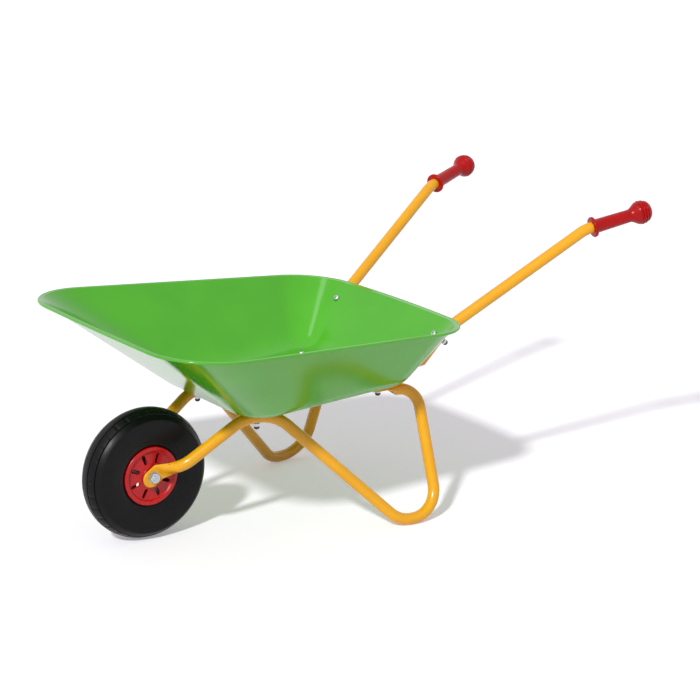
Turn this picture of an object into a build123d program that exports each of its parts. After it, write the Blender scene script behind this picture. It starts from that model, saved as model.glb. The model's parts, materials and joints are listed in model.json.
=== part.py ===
"""A child's single-wheel wheelbarrow: pressed steel tray, two bent side frames, two handles and a wheel.

The origin lies on the ground under the middle of the whole barrow. +X points forward, towards the wheel,
+Y to the left and +Z up. Everything is in millimetres. Stations along the barrow are given as distances
behind the axle.
"""

from build123d import *

import os
from math import atan2, cos, hypot, pi, radians, sin, sqrt, tan
from typing import NamedTuple

# ---- Clearances
fit_gap = 0.1  # all round a bolt, a bush or a tube in its hole
seat_gap = 0.1  # between parts that are clamped together
head_gap = 0.35  # between a flat bolt head and the curved sheet
running_gap = 0.3  # between the turning wheel and what holds it

# ---- Wheel
tyre_diameter = 180.0
tyre_width = 48.0
tyre_widest_radius = 65.0
tyre_shoulder_width = 41.0
tyre_shoulder_drop = 7.5  # the shoulders lie this far inside the crown
tyre_casing = 5.0
tread_groove_count = 4
tread_groove_pitch = 11.0
tread_groove_width = 1.6
tread_groove_depth = 1.2
rim_diameter = 81.0  # over the flanges
rim_width = 42.0  # over the flange faces
rim_flange_height = 4.5
rim_flange_thickness = 3.2
rim_barrel_wall = 2.6
rim_edge_radius = 1.4
rim_ring_width = 5.5  # the flat ring inside the rim's edge
web_thickness = 3.0
web_recess = 3.0  # the web lies this far below the ring at the barrel
web_crown = 2.0  # and this much less at the hub
web_slot_count = 8
web_slot_start = 18.0
web_slot_end = 32.0
web_slot_width = 5.2
hub_diameter = 27.0
hub_projection = 0.2  # hub face beyond the flange face
bush_diameter = 12.0

# ---- Axle
axle_diameter = 8.0
axle_hex = 13.0
axle_head_height = 5.3
axle_nut_height = 4.0
axle_thread_end = 0.4
axle_thread_chamfer = 0.6
axle_washer_diameter = 16.0
axle_washer_thickness = 1.3
axle_spacer_diameter = 15.0
axle_spacer_thickness = 0.8

# ---- Steel tube
tube_diameter = 16.0
tube_wall = 1.5
flat_thickness = 3.2  # of a tube end that is pressed flat
flat_end_reach = 15.5  # from a hole to the end of the flat
strap_press_length = 12.0  # from flat to round, on the handles
leg_press_length = 18.0  # and on the legs

# ---- Tray: wired rim, walls and floor
sheet = 1.0
bead_diameter = 3.8
bead_rise = 0.6  # the bead stands this far above the flat lip
rim_ahead = 70.0
rim_behind = 412.0
rim_front_width = 460.0
rim_rear_width = 380.0
rim_front_radius = 90.0
rim_rear_radius = 83.0
rim_front_bow = 4.0
rim_rear_bow = 12.0
rim_front_height = 300.0
rim_rear_height = 272.0
lip_width = 4.4
rear_lip_width = 8.0
floor_front_behind = 100.0
floor_rear_behind = 345.0
floor_front_width = 242.0
floor_rear_width = 256.0
floor_front_radius = 52.0
floor_rear_radius = 32.0
floor_front_bow = 1.0
floor_rear_bow = 2.0
floor_front_height = 171.0
floor_rear_height = 185.4
floor_blend_radius = 46.0

# ---- Tray bolts
bolt_diameter = 5.0
bolt_head_diameter = 9.5
bolt_head_height = 2.8
bolt_recess = 3.0  # hexagon socket
bolt_recess_depth = 1.2
nut_hex = 8.0
nut_height = 4.0
nut_cap_diameter = 8.0
nut_cap_height = 4.5
nut_cap_hold = 2.5  # bolt inside the cap
front_bolt_behind = 129.0
front_bolt_side = 75.0
rear_bolt_behind = 316.6
rear_bolt_side = 92.4
handle_bolt_drop = 20.0  # below the rear rim

# ---- Side frames
arm_first_bend = 10.5  # from the axle to the flat's bend
arm_first_radius = 4.0
arm_second_bend = 37.0  # and to the bend of the round tube
arm_second_side = 54.3
arm_second_radius = 30.0
front_seat_toe = 17.3  # degrees that the frame spreads where it carries the tray
front_seat_length = 6.0
front_bend_radius = 55.0
foot_behind = 328.4
foot_side = 160.8
foot_toe = 6.0
foot_length = 4.0
foot_bend_radius = 40.8
leg_top_behind = 375.1
leg_top_side = 102.1
leg_top_bend_radius = 29.0
leg_flat_length = 9.0  # flat behind the rear bolt

# ---- Handles
handle_splay = 15.5  # degrees
handle_wall_gap = 0.6  # between the tray's rear wall and the handle
handle_strap_gap = 1.2  # and its pressed end, round the tray's blend
handle_rim_bend_share = 0.18  # of the straight between the pressed end and the bend at the rim
handle_strap_start = 8.0  # flat above the blend
grip_bend_behind = 609.0
grip_bend_height = 383.6
grip_bend_radius = 50.0
grip_rise = 12.8  # degrees
grip_splay = 15.5
grip_offset = 10.0  # from the bend's corner to the grip's flange
grip_tube_depth = 66.0  # tube inside the grip
grip_length = 91.5
grip_flange_diameter = 29.0
grip_flange_thickness = 4.5
grip_neck_diameter = 19.8
grip_waist_diameter = 18.2
grip_waist = 58.0  # from the flange to the narrowest place
grip_knob = 75.5  # and to the widest part of the knob
grip_knob_diameter = 34.0
grip_tip_diameter = 12.0
grip_edge_radius = 1.5
grip_first_groove = 6.4  # from the tip
grip_groove_count = 3
grip_groove_pitch = 4.7
grip_groove_width = 2.2

# ---- Sizes that follow
tyre_radius = tyre_diameter / 2
tube_radius = tube_diameter / 2
bead_radius = bead_diameter / 2
flat_width = pi * (tube_diameter - tube_wall) / 2 + tube_wall
grip_heading = Vector(-cos(radians(grip_splay)), sin(radians(grip_splay)), tan(radians(grip_rise)))
grip_direction = grip_heading.normalized()
barrow_rear = grip_bend_behind - (grip_offset + grip_length) * grip_direction.X
axle_x = (barrow_rear - tyre_radius) / 2


def station(behind, side, height):
    """The point that far behind the axle, to the left and above the ground."""
    return Vector(axle_x - behind, side, height)


# ---- Outlines: rounded four-sided loops, symmetrical about y = 0, in planes that slope along x
class Outline(NamedTuple):
    front: float
    rear: float
    front_half: float
    rear_half: float
    front_radius: float
    rear_radius: float
    front_bow: float
    rear_bow: float
    front_height: float
    rear_height: float


def between(first, second, share):
    """The outline that far from the first to the second; a share over 1 goes on beyond it."""
    return Outline(*(a + (b - a) * share for a, b in zip(first, second)))


def stepped_in(outline, front, side, rear, lift):
    """The outline moved inwards by its own amount at each edge, and up."""
    return outline._replace(
        front=outline.front - front,
        rear=outline.rear + rear,
        front_half=outline.front_half - side,
        rear_half=outline.rear_half - side,
        front_radius=outline.front_radius - (front + side) / 2,
        rear_radius=outline.rear_radius - (rear + side) / 2,
        front_height=outline.front_height + lift,
        rear_height=outline.rear_height + lift,
    )


def outline_plane(outline):
    """The outline's plane, at the middle of its rear edge, with x forward."""
    forward = Vector(outline.front - outline.rear, 0, outline.front_height - outline.rear_height)
    upward = forward.cross(Vector(0, 1, 0))
    return Plane(origin=(outline.rear, 0, outline.rear_height), x_dir=forward, z_dir=upward)


def filled(outline):
    """The outline as a sketch in its plane."""
    length = hypot(outline.front - outline.rear, outline.front_height - outline.rear_height)
    with BuildSketch(outline_plane(outline)) as sketch:
        with BuildLine():
            ThreePointArc(
                (length, -outline.front_half), (length + outline.front_bow, 0), (length, outline.front_half)
            )
            Line((length, outline.front_half), (0, outline.rear_half))
            ThreePointArc((0, outline.rear_half), (-outline.rear_bow, 0), (0, -outline.rear_half))
            Line((0, -outline.rear_half), (length, -outline.front_half))
        make_face()
        fillet(sketch.vertices().sort_by(Axis.X)[:2], outline.rear_radius)
        fillet(sketch.vertices().sort_by(Axis.X)[-2:], outline.front_radius)
    return sketch.sketch


# ---- Tray
rim_outline = Outline(
    axle_x + rim_ahead,
    axle_x - rim_behind,
    rim_front_width / 2,
    rim_rear_width / 2,
    rim_front_radius,
    rim_rear_radius,
    rim_front_bow,
    rim_rear_bow,
    rim_front_height,
    rim_rear_height,
)
floor_outline = Outline(
    axle_x - floor_front_behind,
    axle_x - floor_rear_behind,
    floor_front_width / 2,
    floor_rear_width / 2,
    floor_front_radius,
    floor_rear_radius,
    floor_front_bow,
    floor_rear_bow,
    floor_front_height,
    floor_rear_height,
)
wall_outline = stepped_in(rim_outline, lip_width, lip_width, rear_lip_width, -bead_rise)
bead_outline = stepped_in(rim_outline, bead_radius, bead_radius, bead_radius, -bead_radius)
lip_outline = stepped_in(rim_outline, bead_radius, bead_radius, bead_radius, -bead_rise)

# Slopes of the walls, and what the sheet's thickness takes from each outline
front_slope = atan2(wall_outline.front_height - floor_front_height, wall_outline.front - floor_outline.front)
rear_slope = atan2(wall_outline.rear_height - floor_rear_height, floor_outline.rear - wall_outline.rear)
side_slope = atan2(
    (wall_outline.front_height + wall_outline.rear_height - floor_front_height - floor_rear_height) / 2,
    (wall_outline.front_half + wall_outline.rear_half - floor_outline.front_half - floor_outline.rear_half) / 2,
)
inner_wall_outline = stepped_in(
    wall_outline, sheet / sin(front_slope), sheet / sin(side_slope), sheet / sin(rear_slope), 0
)
inner_floor_outline = stepped_in(
    floor_outline,
    sheet * tan(front_slope / 2),
    sheet * tan(side_slope / 2),
    sheet * tan(rear_slope / 2),
    sheet,
)


def tub(top, bottom, blend_radius):
    """The solid between two outlines, with its bottom edge blended."""
    with BuildPart() as form:
        add(filled(top))
        add(filled(bottom))
        loft(ruled=True)
        fillet(form.faces().sort_by(Axis.Z)[0].edges(), blend_radius)
    return form.part


tub_outside = tub(wall_outline, floor_outline, floor_blend_radius)
tub_inside_top = between(inner_floor_outline, inner_wall_outline, 1.02)  # a little above the lip
tub_inside = tub(tub_inside_top, inner_floor_outline, floor_blend_radius - sheet)

# ---- Seats on the tray's underside, with z up through the sheet
floor_plane = outline_plane(floor_outline)
floor_up = floor_plane.z_dir
floor_slope = atan2(floor_rear_height - floor_front_height, floor_rear_behind - floor_front_behind)


def floor_seat(behind, side):
    """The plane on the floor's underside at a station, with x rearward along the floor."""
    height = floor_front_height + (behind - floor_front_behind) * tan(floor_slope)
    return Plane(origin=station(behind, side, height), x_dir=-floor_plane.x_dir, z_dir=floor_up)


def heading(splay):
    """The direction rearward along the floor that spreads to the left by an angle."""
    turn = radians(splay)
    return floor_plane.x_dir * -cos(turn) + Vector(0, sin(turn), 0)


front_seat = floor_seat(front_bolt_behind, front_bolt_side)
rear_seat = floor_seat(rear_bolt_behind, rear_bolt_side)

# ---- Tube sections and bends


def corner(seat, direction, target, radius):
    """Where a straight run that leaves a seat along a direction must turn so that a bend of the given radius
    starts right at the seat and the run after it meets the target."""
    offset = target - seat
    along = offset.dot(direction)
    across = (offset - direction * along).length
    reach = across * radius / (along + sqrt(along**2 + across**2 - 2 * across * radius))
    return seat + direction * reach


def pressed_section(plane, width, thickness):
    """A tube's section pressed to a slot of that width and thickness, with the width along the plane's x."""
    end = thickness / 2
    run = width / 2 - end
    with BuildSketch(plane) as section:
        with BuildLine():
            Line((-run, -end), (run, -end))
            ThreePointArc((run, -end), (run + end, 0), (run, end))
            Line((run, end), (-run, end))
            ThreePointArc((-run, end), (-run - end, 0), (-run, -end))
        make_face()
    return section.sketch


def round_section(plane, diameter):
    """A round section whose edges match those of a pressed one."""
    half = diameter / 2 * sin(radians(45))
    with BuildSketch(plane) as section:
        with BuildLine():
            ThreePointArc((-half, -half), (0, -diameter / 2), (half, -half))
            ThreePointArc((half, -half), (diameter / 2, 0), (half, half))
            ThreePointArc((half, half), (0, diameter / 2), (-half, half))
            ThreePointArc((-half, half), (-diameter / 2, 0), (-half, -half))
        make_face()
    return section.sketch


def half_section(plane, width, thickness):
    """The half of a pressed section on the plane's +x side, which turns about its middle into a round end."""
    end = thickness / 2
    run = width / 2 - end
    with BuildSketch(plane) as section:
        with BuildLine():
            Line((0, -end), (run, -end))
            ThreePointArc((run, -end), (run + end, 0), (run, end))
            Line((run, end), (0, end))
            Line((0, end), (0, -end))
        make_face()
    return section.sketch


bore_diameter = tube_diameter - 2 * tube_wall
slit = flat_thickness - 2 * tube_wall
slit_width = flat_width - 2 * tube_wall

# ---- Left side frame: flat arm end, arm, front seat, foot, leg and flat rear end
bush_half = rim_width / 2 + hub_projection
spacer_face = bush_half + running_gap + axle_spacer_thickness
arm_inner = spacer_face + seat_gap
arm_middle = arm_inner + flat_thickness / 2
arm_outer = arm_inner + flat_thickness

front_seat_axis = front_seat.origin - floor_up * (tube_radius + seat_gap)
front_seat_heading = heading(front_seat_toe)
front_seat_half = front_seat_heading * (front_seat_length / 2)
foot = station(foot_behind, foot_side, tube_radius)
foot_heading = Vector(-cos(radians(foot_toe)), sin(radians(foot_toe)), 0)
foot_half = foot_heading * (foot_length / 2)
strap_drop = flat_thickness + 2 * seat_gap  # below the floor lies the handle's strap, then the frame's
leg_seat = floor_seat(leg_top_behind, leg_top_side)
leg_top = leg_seat.origin - floor_up * (strap_drop + tube_radius)
axle_point = station(0, 0, tyre_radius)


def arm_point(reach, side):
    """A point of the arm, by its distance up the slope from the axle and its side."""
    return axle_point + Vector(-cos(arm_rise), 0, sin(arm_rise)) * reach + Vector(0, side, 0)


# The arm and the leg each run between two bends, and settle where both bends keep their radius
seat_rear_corner = front_seat_axis + front_seat_heading * front_bend_radius
arm_rise = atan2(front_seat_axis.Z - axle_point.Z, front_bolt_behind)
for _ in range(8):
    second_bend = arm_point(arm_second_bend, arm_second_side)
    seat_front_corner = corner(
        front_seat_axis - front_seat_half, -front_seat_heading, second_bend, front_bend_radius
    )
    arm_rise = atan2(seat_front_corner.Z - axle_point.Z, axle_point.X - seat_front_corner.X)
    foot_front_corner = corner(foot - foot_half, -foot_heading, seat_rear_corner, foot_bend_radius)
    seat_rear_corner = corner(
        front_seat_axis + front_seat_half, front_seat_heading, foot_front_corner, front_bend_radius
    )
foot_rear_corner = corner(foot + foot_half, foot_heading, leg_top, foot_bend_radius)

arm_run = (seat_front_corner - second_bend).normalized()
arm_up = Vector(sin(arm_rise), 0, cos(arm_rise))
first_bend = arm_point(arm_first_bend, arm_middle)
press_run = (second_bend - first_bend).normalized()
first_turn = radians((first_bend - axle_point - Vector(0, arm_middle, 0)).get_angle(press_run))
second_turn = radians(press_run.get_angle(arm_run))
arm_press_start = first_bend + press_run * (arm_first_radius * tan(first_turn / 2) + 0.2)
arm_press_end = second_bend - press_run * (arm_second_radius * tan(second_turn / 2) + 0.2)

strap_axis = rear_seat.origin - floor_up * (strap_drop + flat_thickness / 2)
round_axis = rear_seat.origin - floor_up * (strap_drop + tube_radius)
leg_run = (round_axis - leg_top).normalized()
leg_side = leg_run.cross(floor_up)
leg_press_start = round_axis - leg_run * (leg_flat_length + leg_press_length)
strap_start = strap_axis - leg_run * leg_flat_length
frame_corners = [
    arm_press_end,
    second_bend,
    seat_front_corner,
    seat_rear_corner,
    foot_front_corner,
    foot_rear_corner,
    leg_top,
    leg_press_start,
]
frame_radii = [
    arm_second_radius,
    front_bend_radius * 0.999,
    front_bend_radius * 0.999,
    foot_bend_radius * 0.999,
    foot_bend_radius * 0.999,
    leg_top_bend_radius,
]
arm_end_plane = Plane(origin=arm_press_end, x_dir=arm_up, z_dir=press_run)
arm_flat_plane = Plane(origin=arm_press_start, x_dir=arm_up, z_dir=press_run)
leg_end_plane = Plane(origin=leg_press_start, x_dir=leg_side, z_dir=leg_run)
leg_flat_plane = Plane(origin=strap_start, x_dir=leg_side, z_dir=leg_run)
arm_tip = arm_point(-(flat_end_reach - flat_width / 2), arm_middle)
strap_tip = strap_axis + leg_run * (flat_end_reach - flat_width / 2)

with BuildPart() as left_frame_tube:
    # Round tube, bored later
    with BuildLine() as frame_path:
        FilletPolyline(*frame_corners, radius=frame_radii)
    sweep(round_section(arm_end_plane, tube_diameter), path=frame_path.wires()[0])
    # Arm: pressed from round to flat, bent and rounded at its end
    loft([round_section(arm_end_plane, tube_diameter), pressed_section(arm_flat_plane, flat_width, flat_thickness)])
    with BuildLine() as arm_path:
        FilletPolyline(arm_press_start, first_bend, arm_tip, radius=[arm_first_radius])
    sweep(
        pressed_section(Plane(origin=arm_press_start, x_dir=arm_up, z_dir=-press_run), flat_width, flat_thickness),
        path=arm_path.wires()[0],
    )
    arm_tip_plane = Plane(origin=arm_tip, x_dir=arm_up, z_dir=Vector(cos(arm_rise), 0, -sin(arm_rise)))
    revolve(
        half_section(arm_tip_plane, flat_width, flat_thickness),
        axis=Axis(arm_tip, (0, 1, 0)),
        revolution_arc=180,
    )
    # Flat rear end under the tray
    loft([round_section(leg_end_plane, tube_diameter), pressed_section(leg_flat_plane, flat_width, flat_thickness)])
    with BuildLine() as strap_path:
        Line(strap_start, strap_tip)
    sweep(pressed_section(leg_flat_plane, flat_width, flat_thickness), path=strap_path.wires()[0])
    revolve(
        half_section(Plane(origin=strap_tip, x_dir=leg_side, z_dir=-leg_run), flat_width, flat_thickness),
        axis=Axis(strap_tip, floor_up),
        revolution_arc=180,
    )
    # Bore, closed where the ends are pressed
    sweep(round_section(arm_end_plane, bore_diameter), path=frame_path.wires()[0], mode=Mode.SUBTRACT)
    loft(
        [round_section(arm_end_plane, bore_diameter), pressed_section(arm_flat_plane, slit_width, slit)],
        mode=Mode.SUBTRACT,
    )
    loft(
        [round_section(leg_end_plane, bore_diameter), pressed_section(leg_flat_plane, slit_width, slit)],
        mode=Mode.SUBTRACT,
    )
    # Holes for the axle and the two tray bolts
    with Locations(Plane(origin=arm_point(0, arm_middle), z_dir=(0, 1, 0))):
        Cylinder(axle_diameter / 2 + fit_gap, 2 * flat_thickness, mode=Mode.SUBTRACT)
    with Locations(Plane(origin=front_seat_axis, z_dir=floor_up)):
        Cylinder(bolt_diameter / 2 + fit_gap, tube_diameter + 2, mode=Mode.SUBTRACT)
    with Locations(Plane(origin=strap_axis, z_dir=floor_up)):
        Cylinder(bolt_diameter / 2 + fit_gap, 2 * flat_thickness, mode=Mode.SUBTRACT)

# ---- Left handle, bent in the plane that stands on the floor along its splay
handle_heading = heading(handle_splay)
handle_plane = Plane(origin=rear_seat.origin, x_dir=handle_heading, z_dir=handle_heading.cross(floor_up))


def rear_crossing(outline):
    """Where the handle's plane crosses the rear of an outline, in the plane's own coordinates."""
    crossings = filled(outline).faces()[0].outer_wire().intersect(handle_plane)
    return max((handle_plane.to_local_coords(Vector(point)) for point in crossings), key=lambda at: at.X)


wall_top = rear_crossing(wall_outline)
wall_foot = rear_crossing(floor_outline)
lip_edge = rear_crossing(rim_outline)
wall_rise = (wall_top - wall_foot).normalized()
wall_out = Vector(wall_rise.Y, -wall_rise.X)

# The handle's upper run comes down to the lip's edge, which it passes just below
grip_bend = station(grip_bend_behind, 0, grip_bend_height) - rear_seat.origin
grip_bend_up = grip_bend.dot(floor_up)
grip_bend_along = -grip_bend.dot(floor_plane.x_dir) / cos(radians(handle_splay))
upper_corner = Vector(grip_bend_along, grip_bend_up)
lip_point = lip_edge - Vector(0, sheet + bead_rise)
to_lip = lip_point - upper_corner
pass_angle = atan2(to_lip.Y, to_lip.X) + atan2(tube_radius + running_gap, to_lip.length)
upper_run = Vector(cos(pass_angle), sin(pass_angle))
lip_clear = upper_corner + upper_run * to_lip.dot(upper_run)

# Its middle run follows the wall to the strap, which goes round the blend to the bolt
wall_line = wall_foot + wall_out * (handle_wall_gap + tube_radius)
along_upper = (wall_line - upper_corner).cross(wall_rise).Z / upper_run.cross(wall_rise).Z
rim_corner = upper_corner + upper_run * along_upper
strap_line = wall_foot + wall_out * (handle_strap_gap + flat_thickness / 2)
strap_level = -(seat_gap + flat_thickness / 2)
strap_corner = strap_line + wall_rise * ((strap_level - strap_line.Y) / wall_rise.Y)
strap_bend_radius = floor_blend_radius
strap_turn = atan2(wall_rise.Y, wall_rise.X)
flat_from = strap_corner + wall_rise * (strap_bend_radius * tan(strap_turn / 2) + handle_strap_start)
round_step = handle_wall_gap + tube_radius - handle_strap_gap - flat_thickness / 2
round_from = flat_from + wall_rise * strap_press_length + wall_out * round_step
strap_end = Vector(-(flat_end_reach - flat_width / 2), strap_level)
rim_turn = strap_turn - atan2(-upper_run.Y, -upper_run.X)
handle_rim_bend_radius = handle_rim_bend_share * (rim_corner - round_from).length / tan(rim_turn / 2)


def in_space(point):
    """A point of the handle's plane, in the barrow's own coordinates."""
    return handle_plane.from_local_coords(point)


handle_run = (in_space(wall_rise) - handle_plane.origin).normalized()
grip_corner = in_space(upper_corner)
handle_tip = grip_corner + grip_direction * (grip_offset + grip_tube_depth)
handle_round_plane = Plane(origin=in_space(round_from), x_dir=handle_plane.z_dir, z_dir=handle_run)
handle_flat_plane = Plane(origin=in_space(flat_from), x_dir=handle_plane.z_dir, z_dir=handle_run)

# The upper bolt stands square on the wall and goes through the middle of the tube
bolt_foot = wall_top - wall_rise * (handle_bolt_drop / wall_rise.Y)
handle_bolt_axis = in_space(bolt_foot + wall_out * (handle_wall_gap + tube_radius))


def wall_seat(point, direction):
    """Where a line from outside first meets the tray's outside, with z square through the sheet there."""
    hits = tub_outside.find_intersection_points(Axis(point, direction))
    seat, outward = min(hits, key=lambda hit: (hit[0] - point).length)
    return Plane(origin=seat, x_dir=handle_plane.z_dir, z_dir=outward * -1)


square_in = wall_seat(handle_bolt_axis, in_space(wall_out * -1) - handle_plane.origin).z_dir
handle_seat = wall_seat(handle_bolt_axis, square_in)
handle_seat_depth = (handle_seat.origin - handle_bolt_axis).length

with BuildPart() as left_handle_tube:
    with BuildLine() as handle_path:
        FilletPolyline(
            in_space(round_from),
            in_space(rim_corner),
            grip_corner,
            handle_tip,
            radius=[handle_rim_bend_radius, grip_bend_radius],
        )
    sweep(round_section(handle_round_plane, tube_diameter), path=handle_path.wires()[0])
    # Flat end, round the tray's blend and under its floor
    loft(
        [
            round_section(handle_round_plane, tube_diameter),
            pressed_section(handle_flat_plane, flat_width, flat_thickness),
        ]
    )
    with BuildLine() as handle_strap_path:
        FilletPolyline(
            in_space(flat_from), in_space(strap_corner), in_space(strap_end), radius=[strap_bend_radius]
        )
    strap_plane = Plane(origin=in_space(flat_from), x_dir=handle_plane.z_dir, z_dir=-handle_run)
    sweep(pressed_section(strap_plane, flat_width, flat_thickness), path=handle_strap_path.wires()[0])
    revolve(
        half_section(
            Plane(origin=in_space(strap_end), x_dir=handle_plane.z_dir, z_dir=handle_heading),
            flat_width,
            flat_thickness,
        ),
        axis=Axis(in_space(strap_end), floor_up),
        revolution_arc=180,
    )
    # Bore, open under the grip
    sweep(round_section(handle_round_plane, bore_diameter), path=handle_path.wires()[0], mode=Mode.SUBTRACT)
    loft(
        [
            round_section(handle_round_plane, bore_diameter),
            pressed_section(handle_flat_plane, slit_width, slit),
        ],
        mode=Mode.SUBTRACT,
    )
    with Locations(rear_seat.offset(-seat_gap - flat_thickness / 2), Plane(handle_bolt_axis, z_dir=handle_seat.z_dir)):
        Cylinder(bolt_diameter / 2 + fit_gap, tube_diameter + 4, mode=Mode.SUBTRACT)

# ---- Left grip, moulded, pushed over the tube's end
grip_seat = grip_corner + grip_direction * grip_offset
grip_plane = Plane(origin=grip_seat, x_dir=grip_direction, z_dir=grip_direction.cross(Vector(0, 0, 1)))
knob_length = grip_length - grip_knob
knob_drop = (grip_knob_diameter - grip_tip_diameter) / 2


def knob_radius_at(reach):
    """The knob's radius at a distance from the flange: a quarter ellipse down to the flat tip."""
    return grip_tip_diameter / 2 + knob_drop * sqrt(1 - ((reach - grip_knob) / knob_length) ** 2)


with BuildPart() as left_grip:
    with BuildSketch(grip_plane):
        with BuildLine():
            Polyline(
                (grip_length, 0),
                (0, 0),
                (0, grip_flange_diameter / 2),
                (grip_flange_thickness, grip_flange_diameter / 2),
                (grip_flange_thickness, grip_neck_diameter / 2),
            )
            Line((grip_flange_thickness, grip_neck_diameter / 2), (grip_waist, grip_waist_diameter / 2))
            Spline(
                (grip_waist, grip_waist_diameter / 2),
                (grip_knob, grip_knob_diameter / 2),
                tangents=[(1, 0), (1, 0)],
            )
            dome = EllipticalCenterArc(
                (grip_knob, grip_tip_diameter / 2), knob_length, knob_drop, start_angle=0, arc_size=90
            )
            Line(dome @ 0, (grip_length, 0))
        make_face()
    revolve(axis=Axis(grip_seat, grip_direction))
    flange_edges = left_grip.edges().filter_by(GeomType.CIRCLE).sort_by(Axis(grip_seat, grip_direction))[:2]
    fillet(flange_edges, grip_edge_radius)
    # Ribs round the end of the knob
    with BuildSketch(grip_plane):
        for index in range(grip_groove_count):
            reach = grip_length - grip_first_groove - index * grip_groove_pitch
            with Locations((reach, knob_radius_at(reach))):
                Circle(grip_groove_width / 2)
    revolve(axis=Axis(grip_seat, grip_direction), mode=Mode.SUBTRACT)
    with Locations(Plane(origin=grip_seat, z_dir=grip_direction)):
        Cylinder(
            tube_radius + fit_gap,
            grip_tube_depth + seat_gap,
            align=(Align.CENTER, Align.CENTER, Align.MIN),
            mode=Mode.SUBTRACT,
        )

# ---- Tyre
wheel_plane = Plane(origin=axle_point, x_dir=(0, 1, 0), z_dir=(1, 0, 0))  # x across the wheel, y up
rim_radius = rim_diameter / 2
barrel_radius = rim_radius - rim_flange_height
flange_inner = rim_width / 2 - rim_flange_thickness
tyre_half = tyre_width / 2
shoulder_half = tyre_shoulder_width / 2
shoulder_radius = tyre_radius - tyre_shoulder_drop
bead_seat = barrel_radius + seat_gap
bead_half = flange_inner - seat_gap
wall_start = rim_width / 2 - rim_edge_radius  # the tyre covers the flange up to its rounded edge
crown_radius = (shoulder_half**2 + tyre_shoulder_drop**2) / (2 * tyre_shoulder_drop)
with BuildPart() as tyre:
    with BuildSketch(wheel_plane):
        with BuildLine():
            right_wall = ThreePointArc(
                (wall_start, rim_radius + seat_gap), (tyre_half, tyre_widest_radius), (shoulder_half, shoulder_radius)
            )
            crown = ThreePointArc(right_wall @ 1, (0, tyre_radius), (-shoulder_half, shoulder_radius))
            left_wall = ThreePointArc(
                crown @ 1, (-tyre_half, tyre_widest_radius), (-wall_start, rim_radius + seat_gap)
            )
            Polyline(
                left_wall @ 1,
                (-bead_half, rim_radius + seat_gap),
                (-bead_half, bead_seat),
                (bead_half, bead_seat),
                (bead_half, rim_radius + seat_gap),
                right_wall @ 0,
            )
        make_face()
        # Air space, open to the rim between the two beads
        with BuildLine():
            inner_right = ThreePointArc(
                (bead_half - tyre_casing, bead_seat),
                (tyre_half - tyre_casing, tyre_widest_radius),
                (shoulder_half - tyre_casing, shoulder_radius - tyre_casing / 2),
            )
            inner_crown = ThreePointArc(
                inner_right @ 1,
                (0, tyre_radius - tyre_casing - tread_groove_depth),
                (-shoulder_half + tyre_casing, shoulder_radius - tyre_casing / 2),
            )
            inner_left = ThreePointArc(
                inner_crown @ 1,
                (-tyre_half + tyre_casing, tyre_widest_radius),
                (-bead_half + tyre_casing, bead_seat),
            )
            Line(inner_left @ 1, inner_right @ 0)
        make_face(mode=Mode.SUBTRACT)
        # Grooves round the tread
        for index in range(tread_groove_count):
            across = (index - (tread_groove_count - 1) / 2) * tread_groove_pitch
            drop = crown_radius - sqrt(crown_radius**2 - across**2)
            with Locations((across, tyre_radius - drop)):
                Rectangle(tread_groove_width, 2 * tread_groove_depth, mode=Mode.SUBTRACT)
    revolve(axis=Axis(axle_point, (0, 1, 0)))

# ---- Rim: two moulded halves that meet in the middle of the wheel
ring_inner = rim_radius - rim_ring_width
web_outer_face = rim_width / 2 - web_recess
web_hub_face = web_outer_face + web_crown
slot_plane = Plane(origin=axle_point, x_dir=(1, 0, 0), z_dir=(0, 1, 0))
with BuildSketch() as vent:
    with Locations(((web_slot_start + web_slot_end) / 2, 0)):
        SlotOverall(web_slot_end - web_slot_start, web_slot_width)
with BuildPart() as left_rim_half:
    with BuildSketch(wheel_plane):
        with BuildLine():
            Polyline(
                (seat_gap / 2, bush_diameter / 2 + fit_gap),
                (bush_half, bush_diameter / 2 + fit_gap),
                (bush_half, hub_diameter / 2),
                (web_hub_face, hub_diameter / 2),
                (web_outer_face, ring_inner - rim_barrel_wall),
                (rim_width / 2, ring_inner),
                (rim_width / 2, rim_radius),
                (flange_inner, rim_radius),
                (flange_inner, barrel_radius),
                (seat_gap / 2, barrel_radius),
                (seat_gap / 2, barrel_radius - rim_barrel_wall),
                (web_outer_face - web_thickness, barrel_radius - rim_barrel_wall),
                (web_hub_face - web_thickness, hub_diameter / 2),
                (seat_gap / 2, hub_diameter / 2),
                (seat_gap / 2, bush_diameter / 2 + fit_gap),
            )
        make_face()
    revolve(axis=Axis(axle_point, (0, 1, 0)))
    ring_edges = left_rim_half.edges().filter_by_position(Axis.Y, rim_width / 2 - 0.01, rim_width / 2 + 0.01)
    fillet(ring_edges, rim_edge_radius)
    # Vents through the web
    with BuildSketch(slot_plane):
        with PolarLocations(0, web_slot_count, start_angle=180 / web_slot_count):
            add(vent.sketch)
    extrude(amount=rim_width, mode=Mode.SUBTRACT)

# ---- Bush through both hubs
with BuildPart() as hub_bush:
    with BuildSketch(slot_plane):
        Circle(bush_diameter / 2)
        Circle(axle_diameter / 2 + fit_gap, mode=Mode.SUBTRACT)
    extrude(amount=bush_half, both=True)

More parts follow.
